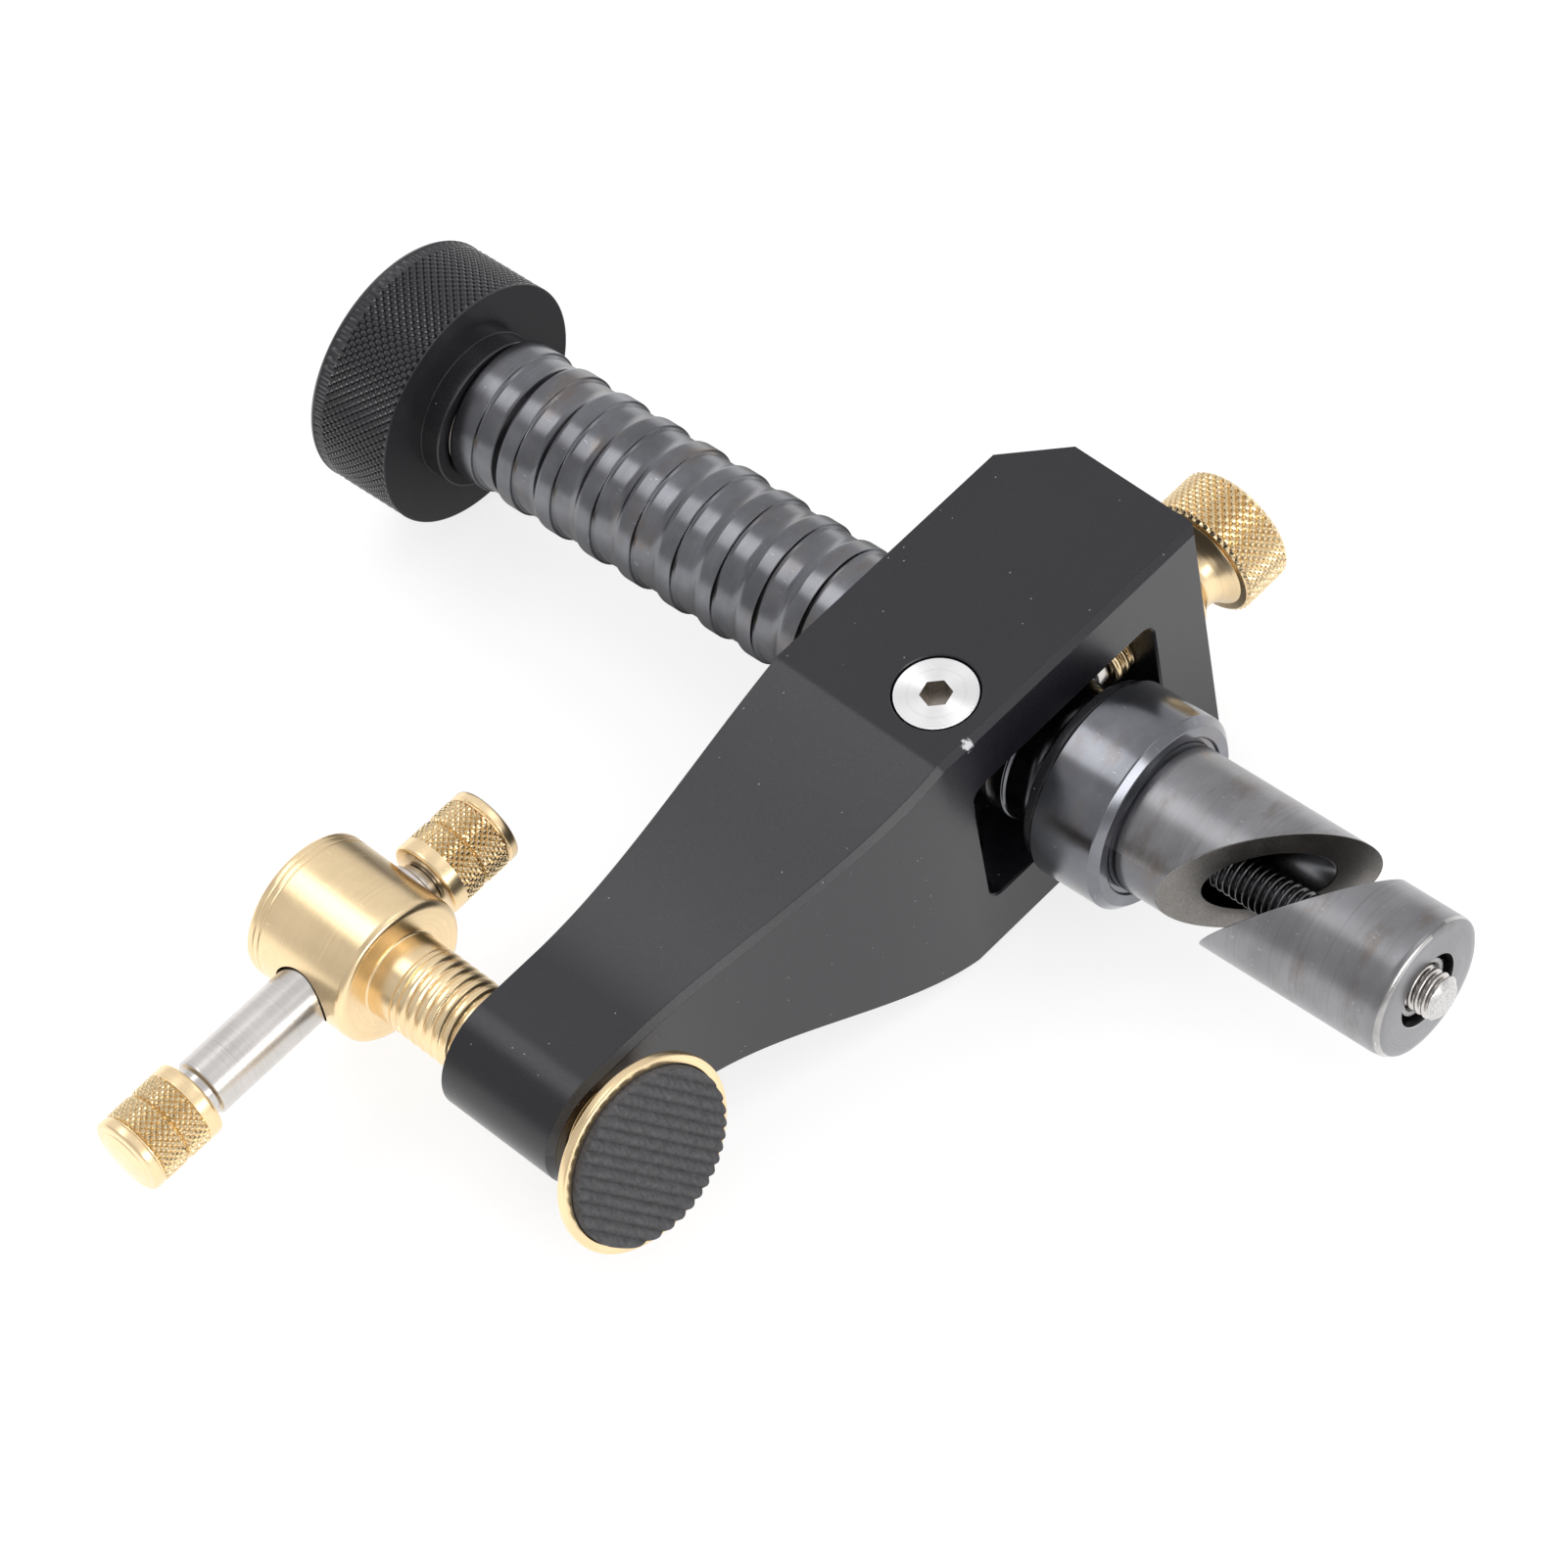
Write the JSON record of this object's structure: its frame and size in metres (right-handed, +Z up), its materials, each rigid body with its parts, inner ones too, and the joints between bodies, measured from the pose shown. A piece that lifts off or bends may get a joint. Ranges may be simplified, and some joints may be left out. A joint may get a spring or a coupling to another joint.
{
  "type": "hold-down clamp",
  "caption": "Bench hold-down clamp on its side: notched post with a wedge nose, sliding arm, clamp screw with T-bar and swivel pad, thumb screw and draw knob.",
  "frame": {"origin": "on the axis of the barrel, in the plane of the collar's bench face", "axes": "+X along the post toward the nose, into the bench; -Y toward the swivel pad; +Z up from the surface that the clamp lies on"},
  "size_m": [0.1699, 0.1526, 0.0414],
  "materials": {
    "gunmetal_steel": "polished, slightly darkened steel",
    "stainless_steel": "bright turned steel",
    "black_oxide_steel": "black oxide",
    "black_anodised_aluminium": "satin black anodised",
    "brass": "bright turned brass",
    "dark_rubber": "matte moulded rubber"
  },
  "bodies": {
    "post": {"post": "gunmetal_steel", "bench_collar": "gunmetal_steel"},
    "stop_washer": {"bumper_washer": "dark_rubber"},
    "rod_washer": {"thrust_washer": "stainless_steel"},
    "draw_knob": {"knob": "black_anodised_aluminium", "knob_bush": "brass"},
    "draw_rod": {"draw_rod": "black_oxide_steel", "nose_nut": "stainless_steel"},
    "nose": {"wedge_nose": "gunmetal_steel"},
    "catch_screw": {"catch_screw": "stainless_steel"},
    "arm": {"arm": "black_anodised_aluminium"},
    "lock_tip": {"lock_tip": "stainless_steel"},
    "lock_screw": {"lock_screw": "brass"},
    "swivel_clip": {"swivel_clip": "stainless_steel"},
    "clamp_screw": {"clamp_spindle": "brass"},
    "sliding_bar": {"sliding_bar": "stainless_steel", "bar_knob_front": "brass", "bar_knob_rear": "brass"},
    "pad": {"pad_cup": "brass", "pad_face": "dark_rubber"}
  },
  "joints": [
    {"name": "rod_shift", "type": "slide", "parent": "post", "child": "rod_washer", "axis": [0, 1, 0], "range_m": [-0.001, 0.001]},
    {"name": "draw", "type": "slide", "parent": "rod_washer", "child": "draw_rod", "axis": [-1, 0, 0], "range_m": [0, 0.005]},
    {"name": "knob_turn", "type": "hinge", "parent": "rod_washer", "child": "draw_knob", "pos_m": [-0.119, -0.0013, 0], "axis": [1, 0, 0], "range_deg": [0, 1801]},
    {"name": "nose_turn", "type": "hinge", "parent": "draw_rod", "child": "nose", "pos_m": [0.03, -0.0013, 0], "axis": [1, 0, 0], "range_deg": [-35.1, 0]},
    {"name": "arm_swing", "type": "hinge", "parent": "post", "child": "stop_washer", "pos_m": [-0.011, 0, 0], "axis": [1, 0, 0], "continuous": true},
    {"name": "arm_height", "type": "slide", "parent": "stop_washer", "child": "catch_screw", "axis": [-1, 0, 0], "range_m": [0, 0.062]},
    {"name": "arm_rock", "type": "hinge", "parent": "catch_screw", "child": "arm", "pos_m": [-0.02307, -0.0121, 0], "axis": [0, 0, 1], "range_deg": [-3, 3]},
    {"name": "lock_travel", "type": "slide", "parent": "arm", "child": "lock_tip", "axis": [0.0454, 0.999, 0], "range_m": [-0.0004, 0.006]},
    {"name": "lock_turn", "type": "hinge", "parent": "lock_tip", "child": "lock_screw", "pos_m": [-0.02248, 0.00102, 0], "axis": [0.0454, 0.999, 0], "range_deg": [-116, 1729]},
    {"name": "screw_travel", "type": "slide", "parent": "arm", "child": "swivel_clip", "axis": [0.999, -0.0454, 0], "range_m": [0, 0.01501]},
    {"name": "screw_turn", "type": "hinge", "parent": "swivel_clip", "child": "clamp_screw", "pos_m": [-0.06073, -0.07202, 0], "axis": [0.999, -0.0454, 0], "range_deg": [0, 3600]},
    {"name": "bar_slide", "type": "slide", "parent": "clamp_screw", "child": "sliding_bar", "axis": [0.0454, 0.999, 0], "range_m": [-0.001, 0.018]},
    {"name": "pad_tilt", "type": "hinge", "parent": "swivel_clip", "child": "pad", "pos_m": [-0.02102, -0.07382, 0], "axis": [0.0454, 0.999, 0], "range_deg": [-0.5, 21.5]}
  ],
  "couplings": [
    {"joint": "knob_turn", "follows": "draw", "rad_per_m": 6283.2},
    {"joint": "nose_turn", "follows": "draw", "rad_per_m": -122.17},
    {"joint": "lock_turn", "follows": "lock_travel", "rad_per_m": 5026.5},
    {"joint": "screw_travel", "follows": "screw_turn", "m_per_rad": 0.00023873}
  ]
}
